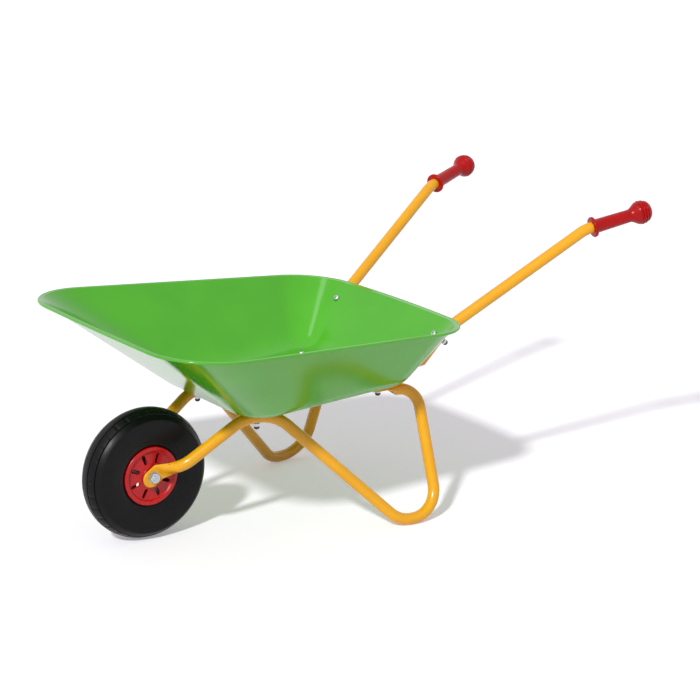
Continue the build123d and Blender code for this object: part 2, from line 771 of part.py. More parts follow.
# ---- Axle: bolt from the right, spacers by the hub, washers outside the arms and a nut on the left
washer_face = arm_outer + seat_gap
nut_face = washer_face + axle_washer_thickness + seat_gap
thread_end = nut_face + axle_nut_height + axle_thread_end
across_corners = 1 / cos(radians(30))
with BuildPart() as axle_bolt:
    with BuildSketch(slot_plane.offset(-nut_face)):
        RegularPolygon(axle_hex / 2 * across_corners, 6)
    extrude(amount=-axle_head_height)
    with BuildSketch(slot_plane.offset(-nut_face)):
        Circle(axle_diameter / 2)
    extrude(amount=nut_face + thread_end)
    chamfer(axle_bolt.faces().sort_by(Axis.Y)[-1].edges(), axle_thread_chamfer)
with BuildPart() as axle_nut:
    with BuildSketch(slot_plane.offset(nut_face)):
        RegularPolygon(axle_hex / 2 * across_corners, 6)
        Circle(axle_diameter / 2 + fit_gap, mode=Mode.SUBTRACT)
    extrude(amount=axle_nut_height)
with BuildPart() as axle_washers:
    with BuildSketch(slot_plane.offset(washer_face), slot_plane.offset(-washer_face - axle_washer_thickness)):
        Circle(axle_washer_diameter / 2)
        Circle(axle_diameter / 2 + fit_gap, mode=Mode.SUBTRACT)
    extrude(amount=axle_washer_thickness)
with BuildPart() as axle_spacers:
    with BuildSketch(
        slot_plane.offset(spacer_face - axle_spacer_thickness), slot_plane.offset(-spacer_face)
    ):
        Circle(axle_spacer_diameter / 2)
        Circle(axle_diameter / 2 + fit_gap, mode=Mode.SUBTRACT)
    extrude(amount=axle_spacer_thickness)

# ---- Tray bolts, nuts and caps, made once for each place with z up through the sheet
head_seat = sheet + head_gap
front_depth = tube_diameter + 2 * seat_gap  # below the seat lies the nut
rear_depth = 2 * flat_thickness + 3 * seat_gap
handle_depth = handle_seat_depth + tube_radius + head_gap


def pair(plane):
    """The plane on the left and its mirror image on the right."""
    other = Plane(
        origin=(plane.origin.X, -plane.origin.Y, plane.origin.Z),
        x_dir=(plane.x_dir.X, -plane.x_dir.Y, plane.x_dir.Z),
        z_dir=(plane.z_dir.X, -plane.z_dir.Y, plane.z_dir.Z),
    )
    return plane, other


def tray_bolt(depth):
    """A button-headed bolt through the sheet, whose nut lies at that depth."""
    with BuildPart() as bolt:
        with BuildSketch(Plane.XY.offset(head_seat)):
            Circle(bolt_head_diameter / 2)
        extrude(amount=bolt_head_height)
        fillet(bolt.faces().sort_by(Axis.Z)[-1].edges(), bolt_head_height * 0.9)
        with BuildSketch(Plane.XY.offset(head_seat + bolt_head_height)):
            RegularPolygon(bolt_recess / 2 * across_corners, 6)
        extrude(amount=-bolt_recess_depth, mode=Mode.SUBTRACT)
        with BuildSketch(Plane.XY.offset(head_seat)):
            Circle(bolt_diameter / 2)
        extrude(amount=-(head_seat + depth + nut_height + nut_cap_hold))
    return bolt.part


def tray_nut(depth):
    """A hexagon nut at that depth below the seat."""
    with BuildPart() as nut:
        with BuildSketch(Plane.XY.offset(-depth)):
            RegularPolygon(nut_hex / 2 * across_corners, 6)
            Circle(bolt_diameter / 2 + fit_gap, mode=Mode.SUBTRACT)
        extrude(amount=-nut_height)
    return nut.part


def tray_nut_cap(depth):
    """A domed cap pushed over the bolt's end below the nut."""
    with BuildPart() as cap:
        with BuildSketch(Plane.XY.offset(-depth - nut_height - seat_gap)):
            Circle(nut_cap_diameter / 2)
        extrude(amount=-nut_cap_height)
        fillet(cap.faces().sort_by(Axis.Z)[0].edges(), nut_cap_diameter * 0.4)
        with BuildSketch(Plane.XY.offset(-depth - nut_height - seat_gap)):
            Circle(bolt_diameter / 2 + fit_gap)
        extrude(amount=-nut_cap_hold, mode=Mode.SUBTRACT)
    return cap.part


with BuildPart() as front_tray_bolts:
    with Locations(*pair(front_seat)):
        add(tray_bolt(front_depth))
with BuildPart() as front_tray_nuts:
    with Locations(*pair(front_seat)):
        add(tray_nut(front_depth))
with BuildPart() as front_nut_caps:
    with Locations(*pair(front_seat)):
        add(tray_nut_cap(front_depth))
with BuildPart() as rear_tray_bolts:
    with Locations(*pair(rear_seat)):
        add(tray_bolt(rear_depth))
with BuildPart() as rear_tray_nuts:
    with Locations(*pair(rear_seat)):
        add(tray_nut(rear_depth))
with BuildPart() as rear_nut_caps:
    with Locations(*pair(rear_seat)):
        add(tray_nut_cap(rear_depth))
with BuildPart() as handle_bolts:
    with Locations(*pair(handle_seat)):
        add(tray_bolt(handle_depth))
with BuildPart() as handle_nuts:
    with Locations(*pair(handle_seat)):
        add(tray_nut(handle_depth))
with BuildPart() as handle_nut_caps:
    with Locations(*pair(handle_seat)):
        add(tray_nut_cap(handle_depth))

# ---- Tray: blended tub, flat lip and wired edge
with BuildPart() as tray:
    add(tub_outside)
    extrude(filled(lip_outline), amount=-sheet)
    with BuildLine() as bead_path:
        add(filled(bead_outline).faces()[0].outer_wire().edges())
    bead_wire = bead_path.wires()[0]
    with BuildSketch(Plane(origin=bead_wire @ 0, z_dir=bead_wire % 0)):
        Circle(bead_radius)
    sweep(path=bead_wire)
    add(tub_inside, mode=Mode.SUBTRACT)
    # The wired edge is pressed flat where it lies over a handle
    with Locations(*pair(Plane(origin=in_space(lip_clear), z_dir=in_space(upper_run) - handle_plane.origin))):
        Cylinder(tube_radius + seat_gap, 3 * tube_diameter, mode=Mode.SUBTRACT)
    with Locations(*pair(front_seat), *pair(rear_seat), *pair(handle_seat)):
        Cylinder(bolt_diameter / 2 + fit_gap, 4 * sheet, mode=Mode.SUBTRACT)

# ---- Right-hand pieces mirror the left
with BuildPart() as right_frame_tube:
    mirror(left_frame_tube.part, about=Plane.XZ)
with BuildPart() as right_handle_tube:
    mirror(left_handle_tube.part, about=Plane.XZ)
with BuildPart() as right_grip:
    mirror(left_grip.part, about=Plane.XZ)
half_pitch = 180 / web_slot_count  # the vents of one half lie between those of the other
with BuildPart() as right_rim_half:
    add(left_rim_half.part.mirror(Plane.XZ).rotate(Axis(axle_point, (0, 1, 0)), half_pitch))

pieces = {
    "tray": tray,
    "left_frame_tube": left_frame_tube,
    "right_frame_tube": right_frame_tube,
    "left_handle_tube": left_handle_tube,
    "right_handle_tube": right_handle_tube,
    "left_grip": left_grip,
    "right_grip": right_grip,
    "tyre": tyre,
    "left_rim_half": left_rim_half,
    "right_rim_half": right_rim_half,
    "hub_bush": hub_bush,
    "axle_bolt": axle_bolt,
    "axle_nut": axle_nut,
    "axle_washers": axle_washers,
    "axle_spacers": axle_spacers,
    "front_tray_bolts": front_tray_bolts,
    "front_tray_nuts": front_tray_nuts,
    "front_nut_caps": front_nut_caps,
    "rear_tray_bolts": rear_tray_bolts,
    "rear_tray_nuts": rear_tray_nuts,
    "rear_nut_caps": rear_nut_caps,
    "handle_bolts": handle_bolts,
    "handle_nuts": handle_nuts,
    "handle_nut_caps": handle_nut_caps,
}
os.makedirs("parts", exist_ok=True)
for label, piece in pieces.items():
    piece.part.label = label
    export_step(piece.part, f"parts/{label}.step")
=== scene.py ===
"""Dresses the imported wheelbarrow.

The tray is pressed sheet in gloss green powder coat, the side frames and the handles are bent
tube in yellow powder coat, the grips and the rim are moulded red plastic, and the tyre is black
rubber. Lengths in the pieces' fields are in millimetres, those in the studio's are in metres, and
everything that Blender gets is in metres.
"""

import json
import logging
import math
from dataclasses import dataclass
from enum import Enum

import bpy
from mathutils import Matrix, Vector


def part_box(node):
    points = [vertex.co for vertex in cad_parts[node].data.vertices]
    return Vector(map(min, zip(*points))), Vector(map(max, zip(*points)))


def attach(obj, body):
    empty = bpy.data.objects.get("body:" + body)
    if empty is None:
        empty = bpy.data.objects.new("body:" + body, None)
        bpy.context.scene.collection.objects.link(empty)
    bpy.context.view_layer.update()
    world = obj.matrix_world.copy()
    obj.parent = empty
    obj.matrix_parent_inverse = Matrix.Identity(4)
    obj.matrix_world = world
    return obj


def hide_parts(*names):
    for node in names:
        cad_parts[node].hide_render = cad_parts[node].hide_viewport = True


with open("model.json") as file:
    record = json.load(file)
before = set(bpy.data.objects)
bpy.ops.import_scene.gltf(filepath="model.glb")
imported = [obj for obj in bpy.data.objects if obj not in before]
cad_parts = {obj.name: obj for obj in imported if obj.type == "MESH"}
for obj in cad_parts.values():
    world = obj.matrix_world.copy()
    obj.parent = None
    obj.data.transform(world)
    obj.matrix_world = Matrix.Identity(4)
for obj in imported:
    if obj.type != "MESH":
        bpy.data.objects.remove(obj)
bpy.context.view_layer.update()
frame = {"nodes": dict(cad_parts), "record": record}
log = logging.getLogger("wheelbarrow")

MM = 0.001
QUARTER_TURN = math.pi / 2
FULL_TURN = 2 * math.pi
ACROSS = Vector((0, 1, 0))
UPWARD = Vector((0, 0, 1))
# A hexagon's flats, and half of the turn that each takes.
FLATS = 6
HALF_FLAT = math.radians(30)
# Points closer than this are one point.
WELD = 0.01 * MM

Span = tuple[float, float]
Triple = tuple[float, float, float]
Profile = list[Span]
Settings = dict[str | int, object]
Links = dict[str | int, bpy.types.NodeSocket]


class Body(Enum):
    """The rigid bodies that a piece can ride on."""

    BARROW = "barrow"
    WHEEL = "wheel"


class Side(Enum):
    """The barrow's two sides, with the direction of each along Y."""

    LEFT = 1
    RIGHT = -1

    @property
    def word(self) -> str:
        """The side's name in the nodes' names."""
        return self.name.lower()


class Slot(Enum):
    """The record's material slots."""

    TRAY = "tray_paint"
    FRAME = "frame_paint"
    GRIP = "grip_plastic"
    RIM = "rim_plastic"
    TYRE = "tyre_rubber"
    ZINC = "zinc"
    CAP = "cap_plastic"


# ---- Helpers for materials


def linear(colour: str) -> tuple[float, float, float, float]:
    """Turns an sRGB hex colour to linear values.

    Args:
        colour: Six hex digits.

    Returns:
        Linear red, green and blue, and an alpha of 1.
    """
    channels = [int(colour[i : i + 2], 16) / 255 for i in (0, 2, 4)]
    red, green, blue = (
        c / 12.92 if c <= 0.04045 else ((c + 0.055) / 1.055) ** 2.4 for c in channels
    )
    return (red, green, blue, 1.0)


def add_node(
    tree: bpy.types.NodeTree,
    kind: str,
    settings: Settings | None = None,
    links: Links | None = None,
) -> bpy.types.Node:
    """Adds one node with its settings and incoming links.

    Args:
        tree: The node tree.
        kind: The node's type name.
        settings: Attributes by name, or values by the input's name or number.
        links: Outgoing sockets by the new node's input name or number.

    Returns:
        The new node.
    """
    made = tree.nodes.new(kind)
    for key, value in (settings or {}).items():
        if isinstance(key, int) or key in made.inputs:
            made.inputs[key].default_value = value
        else:
            setattr(made, key, value)
    for key, socket in (links or {}).items():
        tree.links.new(socket, made.inputs[key])
    return made


def per_mm(size: float) -> float:
    """The texture scale, on coordinates in metres, of a grain of that many millimetres."""
    return 1 / (size * MM)


# The middle part of a noise's range, where nearly all of its values lie.
TONE_SPAN = (0.35, 0.75)
GLOSS_SPAN = (0.3, 0.7)
# How many times smaller the patches of the gloss are than those of the tone.
GLOSS_FINER = 3
# Octaves of the drift of tone, the drift of gloss, the relief and the relief of turned parts.
TONE_DETAIL = 3.0
GLOSS_DETAIL = 4.0
RELIEF_DETAIL = 2.0
TURNED_DETAIL = 3.0
# Roughness of the clear layer over a coat.
COAT_ROUGHNESS = 0.05


@dataclass(frozen=True)
class Finish:
    """A finish with a drift of tone, a drift of gloss and a fine relief.

    Attributes:
        name: The real material.
        colour: sRGB hex of the middle tone.
        worn: sRGB hex that the tone drifts towards.
        drift: How much of that tone shows at most.
        patch: Size of the drift's patches, in millimetres.
        roughness: Lowest and highest roughness.
        grain: Size of the relief's grain, in millimetres.
        relief: The relief's height, in millimetres.
        metallic: 1 for bare metal.
        ior: Index of refraction.
        coat: Weight of a clear gloss layer.
        specular: Level of the reflection at the surface, 0.5 for what the index gives.
    """

    name: str
    colour: str
    worn: str
    drift: float
    patch: float
    roughness: Span
    grain: float
    relief: float
    metallic: float = 0.0
    ior: float = 1.5
    coat: float = 0.0
    specular: float = 0.5

    def material(self) -> bpy.types.Material:
        """Builds the finish the first time and finds it again later.

        Returns:
            The material of that name.
        """
        found = bpy.data.materials.get(self.name)
        if found:
            return found
        made = bpy.data.materials.new(self.name)
        made.use_nodes = True
        made.diffuse_color = linear(self.colour)
        tree = made.node_tree
        shader = tree.nodes["Principled BSDF"]
        shader.inputs["Metallic"].default_value = self.metallic
        shader.inputs["IOR"].default_value = self.ior
        shader.inputs["Specular IOR Level"].default_value = self.specular
        shader.inputs["Coat Weight"].default_value = self.coat
        shader.inputs["Coat Roughness"].default_value = COAT_ROUGHNESS
        place = add_node(tree, "ShaderNodeTexCoord").outputs["Object"]
        tree.links.new(self.tone(tree, place), shader.inputs["Base Color"])
        tree.links.new(self.gloss(tree, place), shader.inputs["Roughness"])
        bump = add_node(
            tree,
            "ShaderNodeBump",
            {"Strength": 1.0, "Distance": self.relief * MM},
            {"Height": self.height(tree, place)},
        )
        tree.links.new(bump.outputs["Normal"], shader.inputs["Normal"])
        return made

    def cloud(
        self, tree: bpy.types.NodeTree, place: bpy.types.NodeSocket, size: float, detail: float
    ) -> bpy.types.NodeSocket:
        """Adds a noise.

        Args:
            tree: The material's tree.
            place: Object coordinates.
            size: The noise's grain in millimetres.
            detail: Its octaves.

        Returns:
            The noise's value.
        """
        noise = add_node(
            tree,
            "ShaderNodeTexNoise",
            {"Scale": per_mm(size), "Detail": detail},
            {"Vector": place},
        )
        return noise.outputs["Fac"]

    def spread(
        self,
        tree: bpy.types.NodeTree,
        value: bpy.types.NodeSocket,
        given: Span,
        wanted: Span,
    ) -> bpy.types.NodeSocket:
        """Spreads a value's range over another.

        Args:
            tree: The material's tree.
            value: The value.
            given: The range to read.
            wanted: The range to give.

        Returns:
            The spread value.
        """
        spread = add_node(
            tree,
            "ShaderNodeMapRange",
            {
                "From Min": given[0],
                "From Max": given[1],
                "To Min": wanted[0],
                "To Max": wanted[1],
            },
            {"Value": value},
        )
        return spread.outputs["Result"]

    def tone(self, tree: bpy.types.NodeTree, place: bpy.types.NodeSocket) -> bpy.types.NodeSocket:
        """Adds the colour.

        Args:
            tree: The material's tree.
            place: Object coordinates.

        Returns:
            The colour.
        """
        drift = self.cloud(tree, place, self.patch, TONE_DETAIL)
        share = self.spread(tree, drift, TONE_SPAN, (0.0, self.drift))
        mix = add_node(
            tree,
            "ShaderNodeMix",
            {"data_type": "RGBA", 6: linear(self.colour), 7: linear(self.worn)},
            {0: share},
        )
        return mix.outputs[2]

    def gloss(self, tree: bpy.types.NodeTree, place: bpy.types.NodeSocket) -> bpy.types.NodeSocket:
        """Adds the roughness, which drifts over smaller patches than the tone."""
        drift = self.cloud(tree, place, self.patch / GLOSS_FINER, GLOSS_DETAIL)
        return self.spread(tree, drift, GLOSS_SPAN, self.roughness)

    def height(
        self, tree: bpy.types.NodeTree, place: bpy.types.NodeSocket
    ) -> bpy.types.NodeSocket:
        """Adds the relief and gives its height."""
        return self.cloud(tree, place, self.grain, RELIEF_DETAIL)


@dataclass(frozen=True)
class TurnedFinish(Finish):
    """A finish from a turned mould or a lathe, with fine rings round the wheel's axle.

    Attributes:
        ring_pitch: From ring to ring, in millimetres.
        ring_share: How much of the relief the rings make.
    """

    ring_pitch: float = 1.6
    ring_share: float = 0.5

    def height(
        self, tree: bpy.types.NodeTree, place: bpy.types.NodeSocket
    ) -> bpy.types.NodeSocket:
        """Adds the rings over the grain.

        Args:
            tree: The material's tree.
            place: Object coordinates.

        Returns:
            The height.
        """
        centred = add_node(
            tree,
            "ShaderNodeMapping",
            {"Location": tuple(-c for c in axle_centre())},
            {"Vector": place},
        )
        flat = add_node(
            tree,
            "ShaderNodeVectorMath",
            {"operation": "MULTIPLY", 1: (1, 0, 1)},
            {0: centred.outputs["Vector"]},
        )
        radius = add_node(
            tree, "ShaderNodeVectorMath", {"operation": "LENGTH"}, {0: flat.outputs["Vector"]}
        )
        angle = add_node(
            tree,
            "ShaderNodeMath",
            {"operation": "MULTIPLY", 1: FULL_TURN * per_mm(self.ring_pitch)},
            {0: radius.outputs["Value"]},
        )
        wave = add_node(tree, "ShaderNodeMath", {"operation": "SINE"}, {0: angle.outputs["Value"]})
        rings = self.spread(tree, wave.outputs["Value"], (-1.0, 1.0), (0.0, self.ring_share))
        grain = self.cloud(tree, place, self.grain, TURNED_DETAIL)
        both = add_node(tree, "ShaderNodeMath", {"operation": "ADD"}, {0: rings, 1: grain})
        return both.outputs["Value"]


def axle_centre() -> Vector:
    """The middle of the wheel, in metres."""
    low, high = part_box("tyre")
    return (Vector(low) + Vector(high)) / 2


# Polyester powder coat, sprayed and baked on pressed sheet: a clean saturated gloss with a faint
# orange peel.
GREEN_COAT = Finish(
    name="green_powder_coat",
    colour="4AAB10",
    worn="429F0C",
    drift=0.6,
    patch=70,
    roughness=(0.15, 0.17),
    grain=4.0,
    relief=0.008,
    coat=0.1,
    specular=0.45,
)
# The same coat on bent tube: a warm yellow, a little softer in gloss.
YELLOW_COAT = Finish(
    name="yellow_powder_coat",
    colour="E5A308",
    worn="DB9806",
    drift=0.6,
    patch=40,
    roughness=(0.22, 0.26),
    grain=3.5,
    relief=0.008,
    specular=0.45,
)
# Injection-moulded polypropylene of the grips, waxy and softly shiny.
GRIP_PLASTIC = Finish(
    name="red_moulded_polypropylene",
    colour="A80508",
    worn="980306",
    drift=0.6,
    patch=16,
    roughness=(0.2, 0.3),
    grain=1.8,
    relief=0.012,
    specular=0.22,
)
# The rim's polypropylene from a polished turned mould, glossier, with the mould's fine rings.
RIM_PLASTIC = TurnedFinish(
    name="red_gloss_polypropylene",
    colour="B80A10",
    worn="A6070C",
    drift=0.6,
    patch=14,
    roughness=(0.24, 0.32),
    grain=3.0,
    relief=0.01,
    specular=0.4,
    ring_pitch=1.2,
)
# Vulcanised rubber: near black, satin, with the mould's rings drawn as coarse as they need to show.
TYRE_RUBBER = TurnedFinish(
    name="black_vulcanised_rubber",
    colour="060607",
    worn="0B0B0D",
    drift=0.8,
    patch=22,
    roughness=(0.32, 0.4),
    grain=0.9,
    relief=0.02,
    specular=0.17,
    ring_pitch=1.8,
)
# Bright zinc plate on steel fasteners: cool grey metal with a fine crystalline bloom.
ZINC_PLATE = Finish(
    name="bright_zinc_plate",
    colour="C6CBD0",
    worn="A4ABB2",
    drift=0.7,
    patch=5,
    roughness=(0.16, 0.32),
    grain=1.0,
    relief=0.01,
    metallic=1.0,
)
# Moulded polyethylene of the nut caps, black and soft.
CAP_PLASTIC = Finish(
    name="black_polyethylene",
    colour="121212",
    worn="1C1C1C",
    drift=0.5,
    patch=6,
    roughness=(0.28, 0.4),
    grain=1.5,
    relief=0.01,
)


# ---- Helpers for meshes


def deselect() -> None:
    """Leaves nothing selected and no object in edit mode."""
    if bpy.context.object and bpy.context.object.mode != "OBJECT":
        bpy.ops.object.mode_set(mode="OBJECT")
    bpy.ops.object.select_all(action="DESELECT")


def make_active(thing: bpy.types.Object) -> None:
    """Selects one object alone and makes it active.

    Args:
        thing: The object.
    """
    deselect()
    thing.select_set(True)
    bpy.context.view_layer.objects.active = thing


def settle(thing: bpy.types.Object, sharp: float) -> None:
    """Puts an object's place into its mesh and smooths all edges but the sharp ones.

    Args:
        thing: The object.
        sharp: Angle in degrees over which an edge stays sharp.
    """
    make_active(thing)
    bpy.ops.object.transform_apply(location=True, rotation=True, scale=True)
    bpy.ops.object.shade_smooth_by_angle(angle=math.radians(sharp))


def apply_modifier(thing: bpy.types.Object, kind: str, settings: dict[str, object]) -> None:
    """Adds a modifier and applies it.

    Args:
        thing: The object.
        kind: The modifier's type.
        settings: Its attributes.
    """
    make_active(thing)
    modifier = thing.modifiers.new(kind.lower(), kind)
    for key, value in settings.items():
        setattr(modifier, key, value)
    bpy.ops.object.modifier_apply(modifier=modifier.name)


def rounded(corners: list[Triple], parts: int = 4) -> Profile:
    """Rounds the corners of a profile.

    Args:
        corners: Each corner's two coordinates and its radius.
        parts: Runs in each rounded corner.

    Returns:
        The profile's points.
    """
    points: Profile = []
    last = len(corners) - 1
    for index, (along, out, radius) in enumerate(corners):
        here = Vector((along, out))
        if radius == 0 or index in (0, last):
            points.append((along, out))
            continue
        before = (Vector(corners[index - 1][:2]) - here).normalized()
        after = (Vector(corners[index + 1][:2]) - here).normalized()
        half = before.angle(after) / 2
        middle = here + (before + after).normalized() * (radius / math.sin(half))
        start = here + before * (radius / math.tan(half)) - middle
        sweep = start.angle_signed(here + after * (radius / math.tan(half)) - middle)
        for step in range(parts + 1):
            turn = Matrix.Rotation(-sweep * step / parts, 2)
            point = middle + turn @ start
            points.append((point.x, point.y))
    return points


def arc(start: Span, through: Span, end: Span, parts: int) -> Profile:
    """Points on the circle through three points.

    Args:
        start: The first.
        through: The middle one.
        end: The last.
        parts: Runs between the first and the last.

    Returns:
        The points, both ends among them.
    """
    (ax, ay), (bx, by), (cx, cy) = start, through, end
    scale = 2 * (ax * (by - cy) + bx * (cy - ay) + cx * (ay - by))
    a, b, c = ax * ax + ay * ay, bx * bx + by * by, cx * cx + cy * cy
    middle = Vector(
        (
            (a * (by - cy) + b * (cy - ay) + c * (ay - by)) / scale,
            (a * (cx - bx) + b * (ax - cx) + c * (bx - ax)) / scale,
        )
    )
    first = Vector(start) - middle
    sweep = first.angle_signed(Vector(end) - middle)
    turns = [Matrix.Rotation(-sweep * step / parts, 2) for step in range(parts + 1)]
    points = [middle + turn @ first for turn in turns]
    return [(point.x, point.y) for point in points]


def lathe(
    name: str, centre: Vector, axis: Vector, profile: Profile, steps: int, sharp: float = 35.0
) -> bpy.types.Object:
    """Turns a closed profile: one corner is drawn out into the profile, which is then spun.

    Args:
        name: The new object's name.
        centre: A point on the axis, in metres.
        axis: The axis's direction, which isn't upright.
        profile: Distances along the axis and out from it, in millimetres.
        steps: Faces round the turn.
        sharp: Angle in degrees over which an edge stays sharp.

    Returns:
        The new object, with its place in its mesh.
    """
    axis = axis.normalized()
    out = axis.cross(UPWARD).normalized()
    places = [centre + axis * (a * MM) + out * (r * MM) for a, r in profile]
    deselect()
    bpy.ops.mesh.primitive_plane_add(size=MM, location=places[0])
    made = bpy.context.object
    made.name = name
    bpy.ops.object.transform_apply(location=True)
    bpy.ops.object.mode_set(mode="EDIT")
    bpy.ops.mesh.select_mode(type="VERT")
    bpy.ops.mesh.select_all(action="SELECT")
    bpy.ops.mesh.merge(type="CENTER")
    for before, after in zip(places, places[1:]):
        bpy.ops.mesh.extrude_region_move(TRANSFORM_OT_translate={"value": after - before})
    bpy.ops.mesh.select_all(action="SELECT")
    bpy.ops.mesh.remove_doubles(threshold=WELD)
    bpy.ops.mesh.spin(steps=steps, angle=FULL_TURN, center=centre, axis=axis)
    bpy.ops.mesh.select_all(action="SELECT")
    bpy.ops.mesh.remove_doubles(threshold=WELD)
    bpy.ops.mesh.normals_make_consistent(inside=False)
    bpy.ops.object.mode_set(mode="OBJECT")
    settle(made, sharp)
    return made


@dataclass
class Piece:
    """What every piece has.

    Attributes:
        node: The CAD node that it stands for.
        body: The body that it rides on.
        finish: Its finish.
        slot: Its material slot. It is not used.
    """

    node: str
    body: Body
    finish: Finish
    slot: Slot

    def dress(self, made: bpy.types.Object) -> None:
        """Gives a mesh the piece's finish and its place in the barrow.

        Args:
            made: The piece's mesh object.
        """
        made.data.materials.clear()
        made.data.materials.append(self.finish.material())
        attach(made, self.body.value)
        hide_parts(self.node)
        log.info("%s stands for %s with %d faces", made.name, self.node, len(made.data.polygons))


@dataclass
class Skin(Piece):
    """A CAD node's shape as a welded mesh with smooth faces and true edges.

    Attributes:
        sharp: Angle in degrees over which an edge stays sharp.
    """

    sharp: float = 32.0

    def build(self) -> None:
        """Copies the node, welds it, smooths it and dresses it."""
        source = frame["nodes"][self.node]
        made = bpy.data.objects.new(f"{self.node}_skin", source.data.copy())
        bpy.context.scene.collection.objects.link(made)
        make_active(made)
        bpy.ops.object.mode_set(mode="EDIT")
        bpy.ops.mesh.select_all(action="SELECT")
        bpy.ops.mesh.customdata_custom_splitnormals_clear()
        bpy.ops.mesh.remove_doubles(threshold=WELD)
        bpy.ops.object.mode_set(mode="OBJECT")
        settle(made, self.sharp)
        self.dress(made)


@dataclass
class Tyre(Piece):
    """A small moulded tyre with a ribbed crown, cross cuts and rings on its walls.

    Attributes:
        radius: Over the crown.
        half_width: Half of the width over the walls.
        widest: Radius where the walls are widest.
        shoulder_half: Half of the width over the shoulders.
        shoulder: Radius of the shoulders.
        wall_start: Half of the width where the walls leave the rim.
        wall_foot: Radius there.
        wall_end: Half of the width where the walls meet the rounding to the crown.
        wall_top: Radius there.
        wall_parts: Runs up each wall.
        foot_reach: How far up from the rim the wall dips.
        foot_dip: How far in it dips at the rim.
        round_in: How far the rounding reaches from the shoulder in over the crown.
        round_sag: How far it stands out from its chord, as a share of that.
        round_parts: Runs in it.
        bead_half: Half of the width inside the rim's flanges.
        bead_seat: Radius of the rubber on the rim's barrel.
        casing: Thickness of the rubber.
        inside_parts: Runs up each inner wall, and across the inner crown.
        groove_pitch: From groove to groove across the crown.
        groove_count: Grooves in the crown.
        groove_width: Their width.
        groove_depth: Their depth.
        groove_lean: How far each side of a groove leans in.
        rib_parts: Runs across each rib between two grooves.
        rings: Radius, half width and height of each ring on the walls.
        steps: Faces round the turn.
        sharp: Angle in degrees over which an edge stays sharp.
        cut_every: Steps from one cross cut to the next.
        cut_clear: From a groove's middle to the rib's faces that are cut.
        cut_edge: How far the cut's walls lean in.
        cut_depth: The cuts' depth.
    """

    radius: float = 90.0
    half_width: float = 24.0
    widest: float = 65.0
    shoulder_half: float = 21.0
    shoulder: float = 80.6
    wall_start: float = 19.6
    wall_foot: float = 40.6
    wall_end: float = 23.3
    wall_top: float = 78.0
    wall_parts: int = 84
    foot_reach: float = 6.5
    foot_dip: float = 1.8
    round_in: float = 3.1
    round_sag: float = 0.03
    round_parts: int = 10
    bead_half: float = 17.7
    bead_seat: float = 36.1
    casing: float = 5.0
    inside_parts: int = 12
    groove_pitch: float = 11.0
    groove_count: int = 4
    groove_width: float = 1.6
    groove_depth: float = 1.2
    groove_lean: float = 0.2
    rib_parts: int = 3
    rings: tuple[Triple, ...] = ((50.0, 0.6, 0.4),)
    steps: int = 192
    sharp: float = 40.0
    cut_every: int = 6
    cut_clear: float = 0.72
    cut_edge: float = 0.9
    cut_depth: float = 0.5

    def crown(self, across: float) -> float:
        """The crown's radius at a distance from the wheel's middle.

        Args:
            across: That distance, no more than the shoulders' half width.

        Returns:
            The radius.
        """
        drop = self.radius - self.shoulder
        bend = (self.shoulder_half**2 + drop**2) / (2 * drop)
        return self.radius - bend + math.sqrt(bend**2 - across**2)

    def wall(self) -> Profile:
        """One wall from the rim to the rounding at the shoulder, with its rings.

        Returns:
            The wall's points.
        """
        foot = (self.wall_start, self.wall_foot)
        top = (self.wall_end, self.wall_top)
        points = arc(foot, (self.half_width, self.widest), top, self.wall_parts)
        shaped: Profile = []
        for across, out in points:
            share = (out - self.wall_foot) / self.foot_reach
            if share < 1:
                across -= self.foot_dip * (1 - share) ** 2
            for ring, half, height in self.rings:
                reach = abs(out - ring) / half
                if reach < 1:
                    across += height * min(1.0, 2 * (1 - reach))
            shaped.append((min(across, self.half_width), out))
        return shaped

    def bend(self) -> Profile:
        """The rounding between the wall and the crown on the left.

        Returns:
            Its points from the wall up, without the wall's last.
        """
        start = self.wall()[-1]
        inner = self.shoulder_half - self.round_in
        end = (inner, self.crown(inner))
        run, rise = end[0] - start[0], end[1] - start[1]
        middle = (
            start[0] + run / 2 + rise * self.round_sag,
            start[1] + rise / 2 - run * self.round_sag,
        )
        return arc(start, middle, end, self.round_parts)[1:]

    def tread(self) -> Profile:
        """The crown from the left rounding to the last groove, with its grooves.

        Returns:
            The crown's points, without the first.
        """
        half = self.groove_width / 2
        lean = self.groove_lean
        first = (self.groove_count - 1) / 2
        points: Profile = []
        edge = self.shoulder_half - self.round_in
        for index in range(self.groove_count):
            middle = (first - index) * self.groove_pitch
            for part in range(1, self.rib_parts + 1):
                across = edge + (middle + half - edge) * part / self.rib_parts
                points.append((across, self.crown(across)))
            floor = self.crown(middle) - self.groove_depth
            points += [(middle + half - lean, floor), (middle - half + lean, floor)]
            edge = middle - half
            points.append((edge, self.crown(edge)))
        return points

    def inside(self) -> Profile:
        """The air space from one bead to the other.

        Returns:
            Its points.
        """
        foot = (self.bead_half - self.casing, self.bead_seat)
        side = (self.half_width - self.casing, self.widest)
        top = (self.shoulder_half - self.casing, self.shoulder - self.casing / 2)
        wall = arc(foot, side, top, self.inside_parts)
        roof = (0.0, self.radius - self.casing - self.groove_depth)
        crown = arc(top, roof, (-top[0], top[1]), self.inside_parts)
        return wall + crown[1:-1] + [(-across, out) for across, out in reversed(wall)]

    def build(self) -> None:
        """Turns the tyre, cuts its ribs across and dresses it."""
        wall = self.wall()
        bead = [(self.bead_half, self.bead_seat), (self.bead_half, self.wall_foot)]
        right = bead + wall + self.bend()
        left = [(-across, out) for across, out in reversed(right)]
        profile = right + self.tread() + left + self.inside()[::-1] + [right[0]]
        made = lathe("tyre_rubber", axle_centre(), ACROSS, profile, self.steps, self.sharp)
        self.cut_ribs(made)
        settle(made, self.sharp)
        self.dress(made)

